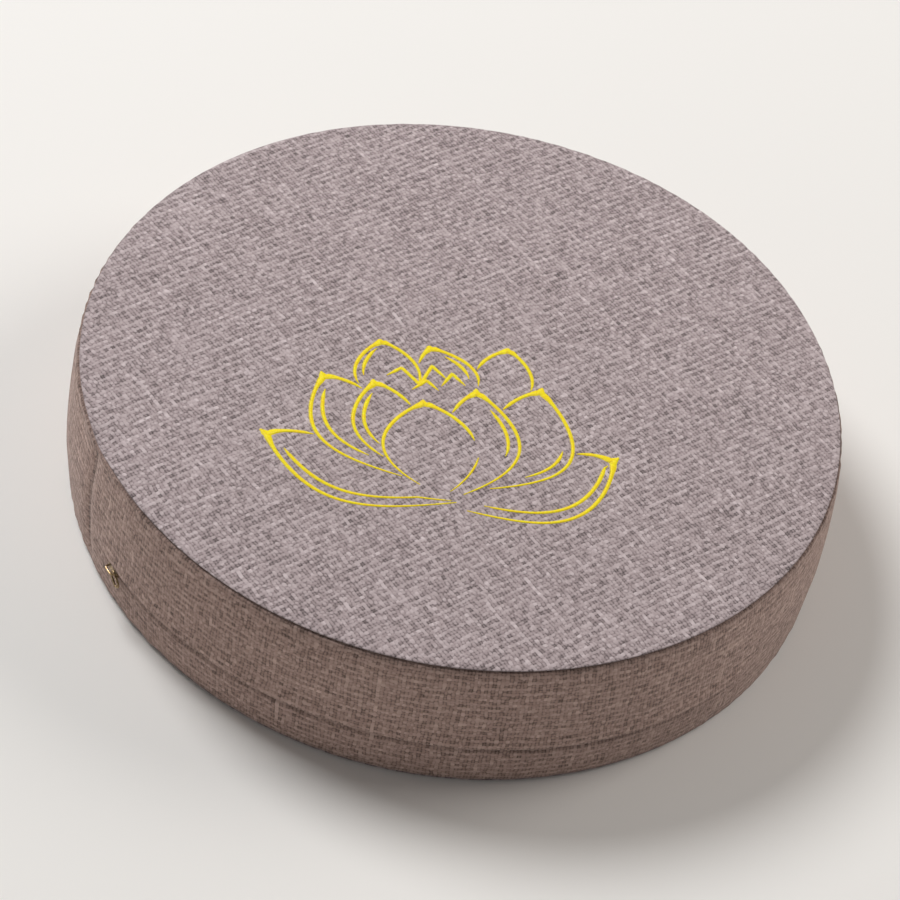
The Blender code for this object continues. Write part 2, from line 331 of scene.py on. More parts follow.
# ---------------------------------------------------------------- the cloth over the foam
SIM_FRAMES = 20
HELD_GROUP = "held"
CLOTH_SETTINGS = {
    "quality": 6,
    "mass": 0.12,
    "tension_stiffness": 20.0,
    "compression_stiffness": 20.0,
    "shear_stiffness": 8.0,
    "bending_stiffness": 0.25,
    "use_pressure": True,
    "uniform_pressure_force": 4.0,
    "shrink_min": -0.012,  # the cloth is cut this much larger than the foam
    "vertex_group_mass": HELD_GROUP,
    "pin_stiffness": 8.0,
}
FAST_GRIP = 1.0
LOOSE_GRIP = 0.02
HELD_ACROSS = 0.0016  # a seam's rows lie this near to its radius
HELD_UP = 0.0012  # and this near to the top seam's height
HELD_FOOT = 0.0035  # or below this height
SHIFT_CAP = 0.0006  # most that a point may move
SHIFT_LEAST = 1e-9
TOP_CALM = 14  # how often the top panel's shifts are evened out, as it lies smooth in the photo
BAND_CALM = 6
OWN_WEIGHT = 2.0  # of a shift in its mean with its four neighbours
SHIFT_WAVES = 52  # waves kept round the cushion, so that the shortest are 24 mm long


def hold_seams(piece, rows):
    """Holds the cloth fast at its seams and on the base, and loosely elsewhere."""
    held = piece.vertex_groups.new(name=HELD_GROUP)
    for ring, row in enumerate(rows):
        by_seam = abs(row.height - TOP) < HELD_UP or row.height < HELD_FOOT
        fast = row.panel == BASE_PANEL or (by_seam and abs(row.radius - SEAM_RADIUS) < HELD_ACROSS)
        grip = FAST_GRIP if fast else LOOSE_GRIP
        held.add(list(range(ring * COARSE, (ring + 1) * COARSE)), grip, "REPLACE")
    crown = len(rows) * COARSE
    base_middle = crown + 1
    held.add([crown], LOOSE_GRIP, "REPLACE")
    held.add([base_middle], FAST_GRIP, "REPLACE")


def settled_places(piece):
    """Where the cloth's vertices lie once its simulation has run."""
    scene = bpy.context.scene
    for step in range(1, SIM_FRAMES + 1):
        scene.frame_set(step)
    places = vertex_places(piece.evaluated_get(bpy.context.evaluated_depsgraph_get()).data)
    scene.frame_set(1)
    return places


def unevenness(moved, points):
    """The shifts of the points less their rows' means, each no longer than the cap."""
    turn = np.arctan2(points[..., 1], points[..., 0])
    out = moved[..., 0] * np.cos(turn) + moved[..., 1] * np.sin(turn)
    out = out - out.mean(axis=1, keepdims=True)
    up = moved[..., 2] - moved[..., 2].mean(axis=1, keepdims=True)
    uneven = np.stack([out * np.cos(turn), out * np.sin(turn), up], axis=-1)
    length = np.linalg.norm(uneven, axis=-1, keepdims=True)
    return uneven * SHIFT_CAP * np.tanh(length / SHIFT_CAP) / np.maximum(length, SHIFT_LEAST)


def calmed(shifts, times):
    """Rows of shifts round the cushion, each averaged with its four neighbours a number of times."""
    for _ in range(times):
        along = np.roll(shifts, 1, axis=1) + np.roll(shifts, -1, axis=1)
        across = np.concatenate([shifts[:1], shifts[:-1]]) + np.concatenate([shifts[1:], shifts[-1:]])
        shifts = (along + across + OWN_WEIGHT * shifts) / (4.0 + OWN_WEIGHT)
    return shifts


def slack_cloth(rows):
    """How unevenly the cover settles over its filling: one shift per row and coarse column.

    The section already has the swollen shape, so each row's mean shift is taken off and its puckers stay.
    """
    points, _ = placed(rows, COARSE, fine=False)
    piece = closed_mesh("settling", points)
    hold_seams(piece, rows)
    cloth = piece.modifiers.new("cloth", "CLOTH")
    for name, value in CLOTH_SETTINGS.items():
        setattr(cloth.settings, name, value)
    cloth.settings.effector_weights.gravity = 0.0
    cloth.collision_settings.use_collision = False
    after = settled_places(piece)[: len(rows) * COARSE].reshape(points.shape)
    bpy.data.objects.remove(piece)
    uneven = unevenness(after - points, points)
    on_top = np.array([row.panel == TOP_PANEL for row in rows])
    for part, times in ((on_top, TOP_CALM), (~on_top, BAND_CALM)):
        uneven[part] = calmed(uneven[part], times)
    return uneven


def across_columns(shifts, count):
    """Coarse rows of shifts spread over the fine columns, by a smooth closed curve."""
    coarse_waves = np.fft.rfft(shifts, axis=1)
    fine_waves = np.zeros((shifts.shape[0], count // 2 + 1, 3), dtype=complex)
    fine_waves[:, :SHIFT_WAVES] = coarse_waves[:, :SHIFT_WAVES]
    return np.fft.irfft(fine_waves, n=count, axis=1) * count / shifts.shape[1]


rows = section()
points, shade = placed(rows, AROUND)
points = points + across_columns(slack_cloth(rows), AROUND)
points[..., 2] = np.maximum(points[..., 2], 0.0)
cover = closed_mesh("cushion_cover", points)
cover_mesh = cover.data
seam_shade = np.concatenate([shade.ravel(), [0.0, 0.0]]).astype(np.float32)
cover_mesh.attributes.new("seam_shade", "FLOAT", "POINT").data.foreach_set("value", seam_shade)


# ---------------------------------------------------------------- where the weave lies on each panel
BIAS = radians(45.0)
QUAD_COLUMNS = np.array([1, 0, 0, 1])  # of the corners of a quad of closed_mesh
QUAD_RINGS = np.array([0, 0, 1, 1])
PANEL_MATERIALS = np.array([0, 1, 1, 0])
# Places on the cloth, in metres, that keep the panels from showing the same stretch of it.
STRIP_START = (1.3, 0.7)
LOWER_STRIP_ON = 0.41
BASE_ON = 0.9


def face_panels(rows):
    """The panel of each face of the cover."""
    panels = np.array([row.panel for row in rows])
    return np.concatenate([np.repeat(panels[1:], AROUND), np.tile([TOP_PANEL, BASE_PANEL], AROUND)])


def weave_map(mesh, rows, panels):
    """A map in metres along the threads: the discs are cut on the bias, the strips along their length.

    A strip's length starts at the join, which is a column of the mesh.
    """
    quads = (len(rows) - 1) * AROUND
    ring, column = (part[:, None] for part in np.divmod(np.arange(quads), AROUND))
    join_column = round((JOIN_ANGLE + HALF_TURN) / FULL_TURN * AROUND)
    steps = (column - join_column) % AROUND + QUAD_COLUMNS
    profile = np.array(rows)[:, :2]
    down = np.concatenate([[0.0], np.cumsum(np.hypot(*np.diff(profile, axis=0).T))])
    strip_u = steps / AROUND * 2.0 * pi * SEAM_RADIUS + STRIP_START[0]
    strip_v = down[ring + QUAD_RINGS] + STRIP_START[1]
    strip_u[panels[:quads] == LOWER_STRIP] += LOWER_STRIP_ON

    corners = np.empty(len(mesh.loops), dtype=np.int32)
    mesh.loops.foreach_get("vertex_index", corners)
    x, y, _ = vertex_places(mesh)[corners].T
    weave = np.stack([x * cos(BIAS) + y * sin(BIAS), -x * sin(BIAS) + y * cos(BIAS)], axis=-1)
    corner_counts = np.empty(len(panels), dtype=np.int32)
    mesh.polygons.foreach_get("loop_total", corner_counts)
    weave[np.repeat(panels, corner_counts) == BASE_PANEL, 0] += BASE_ON
    on_strip = (panels[:quads] == UPPER_STRIP) | (panels[:quads] == LOWER_STRIP)
    quad_weave = weave[: strip_u.size].reshape(*strip_u.shape, 2)
    quad_weave[on_strip] = np.stack([strip_u, strip_v], axis=-1)[on_strip]
    mesh.uv_layers.new(name="weave").data.foreach_set("uv", weave.ravel().astype(np.float32))


panels = face_panels(rows)
weave_map(cover_mesh, rows, panels)
cover_mesh.polygons.foreach_set("material_index", PANEL_MATERIALS[panels].astype(np.int32))
cover_mesh.polygons.foreach_set("use_smooth", np.ones(len(panels), dtype=bool))


# ---------------------------------------------------------------- materials
MIX_NUMBER_INPUTS = (0, 2, 3)  # the sockets of a Mix node: share, a, b
MIX_COLOUR_INPUTS = (0, 6, 7)
MIX_COLOUR_OUTPUT = 2


class Net:
    """Short calls that add nodes to a material. A value is a number, a colour or another node's output."""

    def __init__(self, name):
        self.material = bpy.data.materials.new(name)
        self.material.use_nodes = True
        self.tree = self.material.node_tree
        self.shader = self.tree.nodes["Principled BSDF"]

    def node(self, kind, **settings):
        made = self.tree.nodes.new(kind)
        for key, value in settings.items():
            setattr(made, key, value)
        return made

    def feed(self, sockets, *values):
        for socket, value in zip(sockets, values):
            if isinstance(value, bpy.types.NodeSocket):
                self.tree.links.new(value, socket)
            else:
                socket.default_value = value

    def shade(self, **values):
        """Sets the shader's own inputs. An underscore in a name stands for a space."""
        for name, value in values.items():
            self.feed([self.shader.inputs[name.replace("_", " ")]], value)

    def math(self, operation, a, b=0.0):
        made = self.node("ShaderNodeMath", operation=operation)
        self.feed(made.inputs, a, b)
        return made.outputs[0]

    def plus(self, a, b):
        return self.math("ADD", a, b)

    def minus(self, a, b):
        return self.math("SUBTRACT", a, b)

    def times(self, a, b):
        return self.math("MULTIPLY", a, b)

    def at(self, x, y, z):
        made = self.node("ShaderNodeCombineXYZ")
        self.feed(made.inputs, x, y, z)
        return made.outputs[0]

    def noise(self, vector, scale, detail=2.0):
        made = self.node("ShaderNodeTexNoise")
        self.feed([made.inputs[name] for name in ("Vector", "Scale", "Detail")], vector, scale, detail)
        return made.outputs["Fac"]

    def spread(self, value, low, high, to_low, to_high):
        made = self.node("ShaderNodeMapRange")
        self.feed(made.inputs, value, low, high, to_low, to_high)
        return made.outputs[0]

    def pick(self, share, a, b):
        made = self.node("ShaderNodeMix", data_type="FLOAT")
        self.feed([made.inputs[i] for i in MIX_NUMBER_INPUTS], share, a, b)
        return made.outputs[0]

    def blend(self, share, a, b, mode="MIX"):
        made = self.node("ShaderNodeMix", data_type="RGBA", blend_type=mode)
        self.feed([made.inputs[i] for i in MIX_COLOUR_INPUTS], share, a, b)
        return made.outputs[MIX_COLOUR_OUTPUT]

    def bump(self, height, distance, strength=1.0):
        made = self.node("ShaderNodeBump")
        sockets = [made.inputs[name] for name in ("Strength", "Distance", "Height")]
        self.feed(sockets, strength, distance, height)
        self.shade(Normal=made.outputs[0])


THREAD = 0.00190  # from one thread to the next
THREAD_RELIEF = 0.00023
# Below, heights are in THREAD_RELIEF and other lengths in threads. A rate is a number of changes per thread.
DOME = 0.55  # a thread's own roundness
LIFT = 0.30  # how far a thread rises over the one that it crosses
THICK_LIFT = 0.62  # how much higher a thick place lies
WARP_LIFT = 0.11  # the first set of threads lies this much prouder
HALF_THIN = 0.27  # half a thread's width where it is thin
HALF_THICK = 0.54
TWIN = 0.34  # every second thread is this much thicker
SLUB_RATE = 0.42  # how often a thread swells
SLUB_NOISE = (0.24, 0.76)  # the part of the noise that is spread over thin to thick
LONG_RATE = 0.05  # how often a long slub starts
LONG_NOISE = (0.66, 0.74)
LONG_THICK = 0.30
TONE_RATE = 0.70  # how often a thread turns lighter or darker
TONE_RANGE = (0.30, 0.70)
THICK_TONE = 0.22  # how much lighter a thick place is
SWAY = 1.3  # how far the threads bend together
SWAY_RATE = 0.07
WANDER = 1.1  # how far a thread strays on top of that
WANDER_RATE = 0.22
PATCH_RATE = 0.02  # large, faint patches of tone
PATCH_TONE = 0.04
MIDDLE = 0.5  # of a thread, a noise, or thin to thick
MIDDLE_TONE = 0.50  # the tones that get the cloth's own colour, its light one and its dark one
LIGHT_TONE = 0.76
DARK_TONE = 0.26
GAP_HEIGHTS = (0.18, 1.04)  # painted shade in the gaps between threads and a painted highlight on their crowns
GAP_PAINTED_SHADE_AND_HIGHLIGHT = (0.28, 1.12)
# The seam_shade attribute is painted shade: it darkens the cloth in and beside the seams, under the zip's
# lap and in the band's join.
SEAM_SHADE_BRIGHTNESS = 0.55  # the cloth's brightness in the bottom of a seam
ROUGH_HEIGHTS = (0.0, 1.5)
CLOTH_ROUGH = (0.98, 0.84)
CLOTH_SPECULAR = 0.18
CLOTH_SHEEN = 0.12
SHEEN_ROUGH = 0.6
# Planes of the noise, and steps between two threads' lines in it, far enough apart to be unlike.
SWAY_PLANES = (3.1, 9.7)
WANDER_PLANES = (15.3, 21.9)
PATCH_PLANE = 1.0
WARP_PLANE = 0.0
WEFT_PLANE = 41.3
LONG_PLANE = 31.0
TONE_PLANE = 17.0
SLUB_LINES = 7.31
LONG_LINES = 5.13
TONE_LINES = 3.77


def strayed(net, u, v):
    """A place in threads, moved as the threads bend and wander."""
    moved = []
    for line, sway_plane, wander_plane in zip((u, v), SWAY_PLANES, WANDER_PLANES):
        sway = net.noise(net.at(u, v, sway_plane), SWAY_RATE)
        wander = net.noise(net.at(u, v, wander_plane), WANDER_RATE, 1.0)
        line = net.plus(line, net.times(sway, SWAY))
        moved.append(net.plus(line, net.times(wander, WANDER)))
    return moved


def thread_set(net, across, along, plane, lift):
    """The height and the tone of one set of parallel threads, which are thick and thin by turns."""
    index = net.math("FLOOR", across)
    inside = net.minus(net.minus(across, index), MIDDLE)

    def along_thread(lines, rate, at_plane, detail):
        place = net.at(net.times(index, lines), net.times(along, rate), at_plane)
        return net.noise(place, 1.0, detail)

    slub = along_thread(SLUB_LINES, SLUB_RATE, plane, 1.0)
    thick = net.spread(slub, *SLUB_NOISE, -TWIN / 2.0, 1.0 - TWIN / 2.0)
    thick = net.plus(thick, net.times(net.math("PINGPONG", index, 1.0), TWIN))
    long_slub = along_thread(LONG_LINES, LONG_RATE, plane + LONG_PLANE, 0.0)
    thick = net.plus(thick, net.times(net.spread(long_slub, *LONG_NOISE, 0.0, 1.0), LONG_THICK))

    ratio = net.math("DIVIDE", inside, net.spread(thick, 0.0, 1.0, HALF_THIN, HALF_THICK))
    dome = net.math("SQRT", net.math("MAXIMUM", net.minus(1.0, net.times(ratio, ratio)), 0.0))
    crossing = net.plus(net.minus(along, MIDDLE), index)
    height = net.plus(net.times(dome, DOME), net.times(net.math("COSINE", net.times(crossing, pi)), lift))
    height = net.plus(height, net.times(thick, THICK_LIFT))

    tone = net.spread(along_thread(TONE_LINES, TONE_RATE, plane + TONE_PLANE, 1.0), 0.0, 1.0, *TONE_RANGE)
    return height, net.plus(tone, net.times(net.minus(thick, MIDDLE), THICK_TONE))


def cloth_material(name, colour, light, dark):
    """A linen-look plain weave: two sets of uneven threads that pass over and under each other."""
    net = Net(name)
    split = net.node("ShaderNodeSeparateXYZ")
    net.feed(split.inputs, net.node("ShaderNodeUVMap", uv_map="weave").outputs[0])
    raw_u = net.math("DIVIDE", split.outputs[0], THREAD)
    raw_v = net.math("DIVIDE", split.outputs[1], THREAD)
    u, v = strayed(net, raw_u, raw_v)
    warp, warp_tone = thread_set(net, u, v, WARP_PLANE, LIFT)
    weft, weft_tone = thread_set(net, v, u, WEFT_PLANE, -LIFT)
    warp = net.plus(warp, WARP_LIFT)
    height = net.math("MAXIMUM", warp, weft)

    tone = net.pick(net.math("GREATER_THAN", warp, weft), weft_tone, warp_tone)
    patch = net.noise(net.at(raw_u, raw_v, PATCH_PLANE), PATCH_RATE, 1.0)
    tone = net.plus(tone, net.times(net.minus(patch, MIDDLE), PATCH_TONE))
    base = net.blend(net.spread(tone, MIDDLE_TONE, LIGHT_TONE, 0.0, 1.0), (*colour, 1.0), (*light, 1.0))
    base = net.blend(net.spread(tone, MIDDLE_TONE, DARK_TONE, 0.0, 1.0), base, (*dark, 1.0))
    seam = net.node("ShaderNodeAttribute", attribute_name="seam_shade").outputs["Fac"]
    # Painted shade in the gaps between threads and in the seams, and a painted highlight on the threads'
    # crowns, multiplied into the colour.
    painted_shade_and_highlight = net.spread(height, *GAP_HEIGHTS, *GAP_PAINTED_SHADE_AND_HIGHLIGHT)
    painted_shade_and_highlight = net.times(painted_shade_and_highlight, net.spread(seam, 0.0, 1.0, 1.0, SEAM_SHADE_BRIGHTNESS))
    base = net.blend(1.0, base, net.at(painted_shade_and_highlight, painted_shade_and_highlight, painted_shade_and_highlight), "MULTIPLY")

    net.shade(Base_Color=base, Roughness=net.spread(height, *ROUGH_HEIGHTS, *CLOTH_ROUGH))
    net.shade(Specular_IOR_Level=CLOTH_SPECULAR, Sheen_Weight=CLOTH_SHEEN, Sheen_Roughness=SHEEN_ROUGH)
    net.bump(height, THREAD_RELIEF)
    return net.material


# The top's colours are the linen's own. The band is the same linen with painted shade and a painted warm
# bounce light, so its colours are darker and warmer.
TOP_CLOTH = ((0.381, 0.309, 0.315), (0.632, 0.546, 0.558), (0.145, 0.110, 0.110))
BAND_CLOTH_PAINTED_SHADE = ((0.372, 0.254, 0.216), (0.570, 0.418, 0.368), (0.160, 0.100, 0.083))
cover_mesh.materials.append(cloth_material("linen_top", *TOP_CLOTH))
cover_mesh.materials.append(cloth_material("linen_band_painted_shade", *BAND_CLOTH_PAINTED_SHADE))
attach(cover, "root")
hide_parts("cushion")


# ---------------------------------------------------------------- the lotus, sewn in satin stitch
# Its own frame is in millimetres from the flower's root, x to its right and y up to its tips.
MILLIMETRE = 0.001
LOTUS_ROOT = Vector((0.0, -0.0920))
LOTUS_TURN = radians(10.0)
LEFT, RIGHT = 1, -1


class Petal(NamedTuple):
    """A petal. Its bellies lie at a share of its length, widest, and a run is the sewn part of a side."""

    name: str
    root: tuple
    tip: tuple
    bend: float
    widest: float
    left_belly: float
    right_belly: float
    left_run: tuple
    right_run: tuple


PETALS = (  # from the front to the back
    Petal("centre", (-1.0, 2.0), (-9.0, 67.0), 0.02, 0.50, 24.0, 24.0, (0.10, 1.0), (0.55, 1.0)),
    Petal("right_front", (4.0, 0.0), (19.0, 78.0), -0.07, 0.52, 17.0, 23.0, (0.62, 1.0), (0.05, 1.0)),
    Petal("left_inner", (-8.0, 12.0), (-35.0, 79.0), 0.05, 0.56, 19.0, 16.0, (0.26, 1.0), (0.60, 1.0)),
    Petal("left_outer", (-8.0, 8.0), (-62.0, 82.0), 0.09, 0.60, 20.0, 20.0, (0.12, 1.0), (0.66, 1.0)),
    Petal("right_wide", (10.0, 6.0), (54.0, 83.0), -0.09, 0.55, 18.0, 28.0, (0.55, 1.0), (0.10, 1.0)),
    Petal("low_left", (10.0, -2.0), (-93.0, 38.0), 0.12, 0.58, 14.0, 22.0, (0.03, 1.0), (0.66, 1.0)),
    Petal("low_right", (-4.0, -5.0), (92.0, 38.0), -0.13, 0.62, 22.0, 17.0, (0.74, 1.0), (0.13, 1.0)),
    Petal("back_left", (-22.0, 58.0), (-31.0, 109.0), 0.0, 0.50, 18.0, 16.0, (0.36, 1.0), (0.30, 1.0)),
    Petal("back_middle", (4.0, 56.0), (-5.0, 107.0), 0.0, 0.52, 11.0, 21.0, (0.40, 1.0), (0.28, 1.0)),
    Petal("back_right", (30.0, 60.0), (37.0, 110.0), 0.0, 0.52, 15.0, 15.0, (0.50, 1.0), (0.34, 1.0)),
)
ACCENTS = (  # (petal, side, how far inside its edge, run)
    ("centre", RIGHT, -1.5, (0.03, 0.38)),
    ("right_front", RIGHT, 6.0, (0.46, 0.84)),
    ("left_inner", LEFT, 6.0, (0.30, 0.88)),
    ("left_outer", LEFT, 7.5, (0.34, 0.88)),
    ("right_wide", RIGHT, 5.5, (0.30, 0.62)),
    ("low_left", LEFT, 6.5, (0.05, 0.86)),
    ("low_right", RIGHT, 7.0, (0.22, 0.93)),
    ("back_left", LEFT, 4.5, (0.50, 0.88)),
    ("back_middle", RIGHT, 5.0, (0.50, 0.84)),
)
STAMENS = (
    ((-28.0, 82.5), (-20.0, 89.0), (-10.5, 77.5), (-4.0, 92.0), (3.5, 83.0)),
    ((-15.0, 73.5), (-7.0, 81.0), (-0.5, 74.0)),
    ((0.5, 77.5), (6.5, 87.5), (13.5, 79.0)),
)
STAMEN_DEPTH = 2  # the stamens stand behind this many petals
STAMEN_WIDE = 2.3

PETAL_STEPS = 160
BODY_END = 0.955  # a petal's full sides would meet here
BODY_POWER = 0.72
TIP_FROM = 0.80  # where a petal's edge starts to draw in to its point
TIP_SHARE = 0.32
TIP_POWER = 1.6
MERGE_POWER = 5  # how sharply the full side turns into the point

EDGE_THIN = 1.00  # a petal's line at its root
EDGE_WIDE = 2.40
SWELL_FROM = 0.12
SWELL_OVER = 0.55
TIP_WIDE = 4.4  # the blob near a petal's point
TIP_AT = 0.955
TIP_LONG = 0.045
END_THIN = 0.35
END_OVER = 0.03
ACCENT_SWELL = 0.8  # an accent has no blob, as its width goes no further along than this

RUN_FADE = 6.0  # a run tapers over this length at a free end
RUN_POWER = 0.6
RUN_THIN = 0.62
RUN_LEAST = 10  # a run of no more steps than this isn't sewn
PART_GAP = 1.7  # a run stops this far short of a petal in front

STITCH_STEP = 0.36
STITCH_WIDE = 0.40
STITCH_SLANT = radians(24.0)
STITCH_SEED = 5
STITCH_STATIONS = (-1.0, -0.62, 0.0, 0.62, 1.0)  # across the stroke, as shares of half its width
STITCH_EDGES = ((-0.5, -0.07), (0.0, 0.07), (0.5, -0.07))  # (along the stroke in stitch widths, lift)
STITCH_CLEAR = 0.05  # over the cloth
STITCH_TUCK = 0.10  # how far its two ends go down
TUCK_POWER = 4
HALF_STRAY = 0.05
ARCH_LEAST = 0.16
ARCH_PER_WIDTH = 0.11
ARCH_WIDEST = 3.0
ARCH_STRAY = 0.02


def petal_side(petal, side, inset=0.0):
    """One edge of a petal from root to tip, as points: a full side that draws in to a point."""
    root, tip = Vector(petal.root), Vector(petal.tip)
    belly = petal.left_belly if side == LEFT else petal.right_belly
    lean = log(0.5) / log(petal.widest / BODY_END)
    length = (tip - root).length
    ahead = (tip - root) / length
    left = Vector((-ahead.y, ahead.x))
    line = []
    for step in range(PETAL_STEPS + 1):
        t = step / PETAL_STEPS
        body = max(sin(pi * min(t / BODY_END, 1.0) ** lean), 0.0) ** BODY_POWER
        point = TIP_SHARE * ((1.0 - t) / (1.0 - TIP_FROM)) ** TIP_POWER if t > TIP_FROM else 0.0
        full = (body**MERGE_POWER + point**MERGE_POWER) ** (1.0 / MERGE_POWER)
        out = max(belly * full - inset, 0.0)
        sway = petal.bend * length * sin(pi * t)
        line.append(root + ahead * (length * t) + left * (sway + side * out))
    return line


def outline_of(petal):
    """A petal's closed outline."""
    return petal_side(petal, LEFT) + petal_side(petal, RIGHT)[::-1]


def hides(outline, point):
    """True if a point lies inside a petal's outline, or too near to it."""
    inside = False
    before = outline[-1]
    for corner in outline:
        if (corner.y > point.y) != (before.y > point.y):
            cross = before.x + (point.y - before.y) / (corner.y - before.y) * (corner.x - before.x)
            if point.x < cross:
                inside = not inside
        if (corner - point).length_squared < PART_GAP**2:
            return True
        before = corner
    return inside


def resampled(line):
    """The same line with a point per stitch."""
    total = [0.0]
    for a, b in zip(line, line[1:]):
        total.append(total[-1] + (b - a).length)
    wanted = np.arange(0.0, total[-1], STITCH_STEP)
    xs = np.interp(wanted, total, [point.x for point in line])
    ys = np.interp(wanted, total, [point.y for point in line])
    return [Vector(place) for place in zip(xs, ys)]


def sewn_part(line, start, end):
    """A petal's edge between two shares of its length, with a point per stitch, and the share at each."""
    part = resampled(line[int(start * PETAL_STEPS) : int(end * PETAL_STEPS) + 1])
    return part, np.linspace(start, end, len(part))


def brush_width(t):
    """A petal's line at a share of its length: thin at the root, then full, then a pointed blob."""
    swell = min(max((t - SWELL_FROM) / SWELL_OVER, 0.0), 1.0)
    end = min((1.0 - t) / END_OVER, 1.0)
    blob = exp(-(((t - TIP_AT) / TIP_LONG) ** 2))
    width = EDGE_THIN + (EDGE_WIDE - EDGE_THIN) * swell + (TIP_WIDE - EDGE_WIDE) * blob
    return width * (END_THIN + (1.0 - END_THIN) * end)


def tapered(run, end_is_free):
    """The run drawn out thin at its start, and at its end where that is free."""
    drawn = []
    for i, (point, width) in enumerate(run):
        start = min(i * STITCH_STEP / RUN_FADE, 1.0)
        end = min((len(run) - 1 - i) * STITCH_STEP / RUN_FADE, 1.0) if end_is_free else 1.0
        drawn.append((point, max(width * min(start, end) ** RUN_POWER, RUN_THIN)))
    return drawn


def visible_runs(line, widths, fronts, end_is_free):
    """The parts of a line that no petal in front hides, each as a list of (point, width)."""
    runs = []
    run = []
    for point, width in [*zip(line, widths), (None, 0.0)]:
        if point is not None and not any(hides(front, point) for front in fronts):
            run.append((point, width))
            continue
        if len(run) > RUN_LEAST:
            runs.append(tapered(run, end_is_free))
        run = []
    return runs


def lotus_strokes():
    """Every stroke of the flower as a list of (point, width) with even steps, in the flower's frame."""
    strokes = []
    fronts = [outline_of(petal) for petal in PETALS]
    for depth, petal in enumerate(PETALS):
        for side, (start, end) in ((LEFT, petal.left_run), (RIGHT, petal.right_run)):
            line, shares = sewn_part(petal_side(petal, side), start, end)
            widths = [brush_width(share) for share in shares]
            strokes += visible_runs(line, widths, fronts[:depth], end < 1.0)
    depths = {petal.name: depth for depth, petal in enumerate(PETALS)}
    for name, side, inset, (start, end) in ACCENTS:
        depth = depths[name]
        line, shares = sewn_part(petal_side(PETALS[depth], side, inset), start, end)
        widths = [brush_width(min(share, ACCENT_SWELL)) for share in shares]
        strokes += visible_runs(line, widths, fronts[:depth], True)
    for corners in STAMENS:
        line = resampled([Vector(corner) for corner in corners])
        strokes += visible_runs(line, [STAMEN_WIDE] * len(line), fronts[:STAMEN_DEPTH], True)
    return strokes


def stitch(centre, across, half, arch):
    """The points of one satin stitch, as (place, height): an arched thread across the stroke."""
    lengthwise = Vector((across.y, -across.x))
    points = []
    for station in STITCH_STATIONS:
        spine = centre + across * (half * station)
        hump = arch * (1.0 - station * station) ** 0.5 - STITCH_TUCK * abs(station) ** TUCK_POWER
        for edge, lift in STITCH_EDGES:
            points.append((spine + lengthwise * (edge * STITCH_WIDE), hump + lift + STITCH_CLEAR))
    return points


def stitch_faces():
    """The faces of one satin stitch."""
    wide = len(STITCH_EDGES)
    starts = [row * wide + i for row in range(len(STITCH_STATIONS) - 1) for i in range(wide - 1)]
    return np.array([(a, a + 1, a + 1 + wide, a + wide) for a in starts])


def sewn(name, strokes, ground):
    """The strokes as single satin stitches that lie on the ground, each in a tone of its own."""
    dice = np.random.default_rng(STITCH_SEED)
    turn = Matrix.Rotation(LOTUS_TURN, 2)
    slant = Matrix.Rotation(-STITCH_SLANT, 2)
    pattern = stitch_faces()
    corners, faces, tones = [], [], []
    for stroke in strokes:
        for (before, _), (centre, width), (after, _) in zip(stroke, stroke[1:], stroke[2:]):
            forward = (after - before).normalized()
            across = slant @ Vector((-forward.y, forward.x))
            half = width / 2.0 + dice.normal() * HALF_STRAY
            tone = dice.uniform(0.0, 1.0)
            arch = ARCH_LEAST + ARCH_PER_WIDTH * min(half * 2.0, ARCH_WIDEST) + dice.normal() * ARCH_STRAY
            faces += (pattern + len(corners)).tolist()
            tones += [tone] * len(pattern)
            for place, height in stitch(centre, across, half, arch):
                flat = LOTUS_ROOT + (turn @ place) * MILLIMETRE
                corners.append((flat.x, flat.y, ground(flat.x, flat.y) + height * MILLIMETRE))
    mesh = bpy.data.meshes.new(name)
    mesh.from_pydata(corners, [], faces)
    mesh.attributes.new("tone", "FLOAT", "FACE").data.foreach_set("value", tones)
    mesh.polygons.foreach_set("use_smooth", [True] * len(faces))
    return linked(name, mesh)


GOLD_DEEP = (1.0, 0.66, 0.001, 1.0)
GOLD_LIGHT = (1.0, 0.95, 0.016, 1.0)
TONE_SHARE = 0.6  # how much of the colour's change is from stitch to stitch, and the rest drifts
DRIFT_SCALE = 90.0
DRIFT_NOISE = (0.2, 0.8)
GOLD_ROUGH = (0.36, 0.54)
GOLD_SPECULAR = 0.30
FIBRE_SCALE = 2600.0
FIBRE_RELIEF = 0.00006
FIBRE_STRENGTH = 0.4


def thread_material():
    """Gold rayon thread: bright, soft-sheened, with single threads a little lighter or darker."""
    net = Net("gold_thread")
    tone = net.node("ShaderNodeAttribute", attribute_name="tone").outputs["Fac"]
    where = net.node("ShaderNodeTexCoord").outputs["Object"]
    drift = net.noise(where, DRIFT_SCALE)
    share = net.plus(net.times(tone, TONE_SHARE), net.times(drift, 1.0 - TONE_SHARE))
    net.shade(Base_Color=net.blend(share, GOLD_DEEP, GOLD_LIGHT))
    net.shade(Roughness=net.spread(drift, *DRIFT_NOISE, *GOLD_ROUGH), Specular_IOR_Level=GOLD_SPECULAR)
    net.bump(net.noise(where, FIBRE_SCALE), FIBRE_RELIEF, FIBRE_STRENGTH)
    return net.material


ABOVE_ALL = 0.2  # a height over the whole cushion
DOWN = Vector((0.0, 0.0, -1.0))
cover_tree = BVHTree.FromObject(cover, bpy.context.evaluated_depsgraph_get())


def panel_height(x, y):
    """The height of the top panel's cloth there."""
    hit = cover_tree.ray_cast(Vector((x, y, ABOVE_ALL)), DOWN)[0]
    return hit.z


lotus = sewn("lotus_embroidery", lotus_strokes(), panel_height)
lotus.data.materials.append(thread_material())
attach(lotus, "root")


